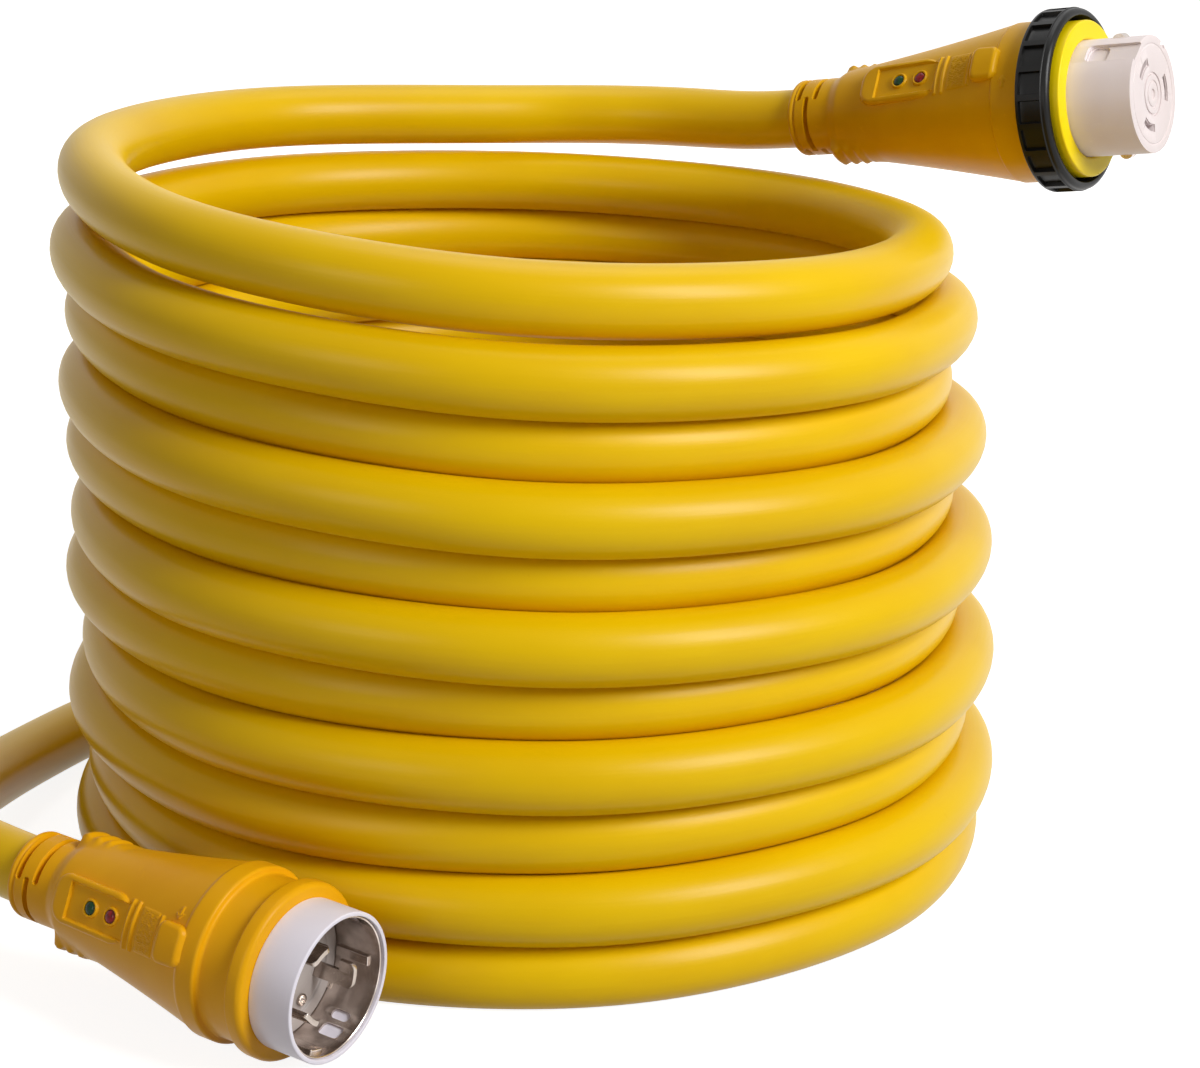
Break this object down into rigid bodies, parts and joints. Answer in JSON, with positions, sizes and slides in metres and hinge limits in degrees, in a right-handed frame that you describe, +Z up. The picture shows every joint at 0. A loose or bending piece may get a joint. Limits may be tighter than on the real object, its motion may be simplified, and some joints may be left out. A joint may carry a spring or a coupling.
{
  "type": "shore power cord",
  "caption": "Thick yellow shore power cord wound in a standing coil, with a moulded locking connector and ring on one end and a shrouded plug on the other.",
  "frame": {"origin": "on the coil's axis at floor level", "axes": "+Z up along the coil's axis; +X towards the connector's side, along the part's longest extent; the plug lies on the -Y side, which is the front"},
  "size_m": [0.5395, 0.4711, 0.3551],
  "materials": {
    "cable_yellow": "semi-matte vinyl jacket",
    "connector_yellow": "satin moulded vinyl",
    "plug_yellow": "satin moulded vinyl",
    "collar_yellow": "smooth bright plastic",
    "ring_black": "semi-gloss",
    "body_white": "satin",
    "shroud_grey": "satin",
    "contact_nickel": "nickel plated",
    "contact_brass": "plain",
    "core_rubber": "matte",
    "wire_black": "satin",
    "wire_white": "satin",
    "wire_green": "satin",
    "board_green": "semi-gloss",
    "lens_green": "clear tinted",
    "lens_red": "clear tinted"
  },
  "bodies": {
    "cord": {"cable_coil": "cable_yellow", "cable_lead": "cable_yellow", "cable_tail": "cable_yellow", "connector_handle": "connector_yellow", "connector_collar": "collar_yellow", "connector_body": "body_white", "connector_sockets": "contact_brass", "connector_ground_springs": "contact_nickel", "connector_core": "core_rubber", "connector_line_wires": "wire_black", "connector_neutral_wire": "wire_white", "connector_ground_wire": "wire_green", "connector_lamp_board": "board_green", "connector_green_lens": "lens_green", "connector_red_lens": "lens_red", "plug_handle": "plug_yellow", "plug_shroud": "shroud_grey", "plug_shell": "contact_nickel", "plug_insulator": "body_white", "plug_blades": "contact_nickel", "plug_core": "core_rubber", "plug_line_wires": "wire_black", "plug_neutral_wire": "wire_white", "plug_ground_wire": "wire_green", "plug_lamp_board": "board_green", "plug_green_lens": "lens_green", "plug_red_lens": "lens_red"},
    "ring": {"connector_ring": "ring_black"}
  },
  "joints": [
    {"name": "ring_spin", "type": "hinge", "parent": "cord", "child": "ring", "pos_m": [0.23388, 0.06012, 0.31487], "axis": [0.8281, -0.546, 0.1271], "continuous": true}
  ]
}
